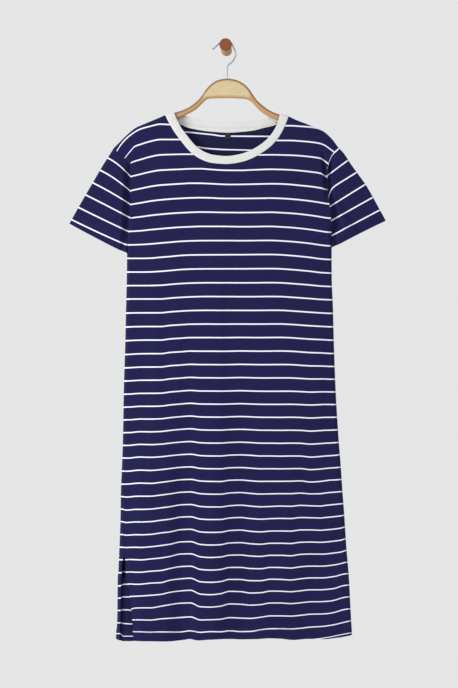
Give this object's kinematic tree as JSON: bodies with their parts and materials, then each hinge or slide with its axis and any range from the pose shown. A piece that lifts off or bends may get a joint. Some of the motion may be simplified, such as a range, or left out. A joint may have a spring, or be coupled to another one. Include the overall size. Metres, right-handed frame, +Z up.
{
  "type": "t-shirt dress on a hanger and wall peg",
  "caption": "Knee-length striped jersey t-shirt dress with short sleeves, a round ribbed neck and side slits, hung on a wooden hanger from a wall peg.",
  "frame": {"origin": "centre of the peg's flat back face, on the wall", "axes": "+X to the viewer's right, +Y into the wall, +Z up; the dress faces -Y"},
  "size_m": [0.6935, 0.0509, 1.3174],
  "materials": {
    "jersey": "soft cotton jersey, navy with thin white stripes",
    "rib": "off-white cotton rib",
    "tape": "white cotton tape",
    "label": "black woven ribbon",
    "wood": "lacquered pale wood",
    "wire": "polished steel wire",
    "peg_wood": "turned and lacquered brown wood"
  },
  "bodies": {
    "root": {"front_panel": "jersey", "back_panel": "jersey", "left_sleeve": "jersey", "right_sleeve": "jersey", "neckband": "rib", "neck_tape": "tape", "size_label": "label", "hanger": "wood", "hook": "wire", "wall_peg": "peg_wood"}
  },
  "joints": []
}
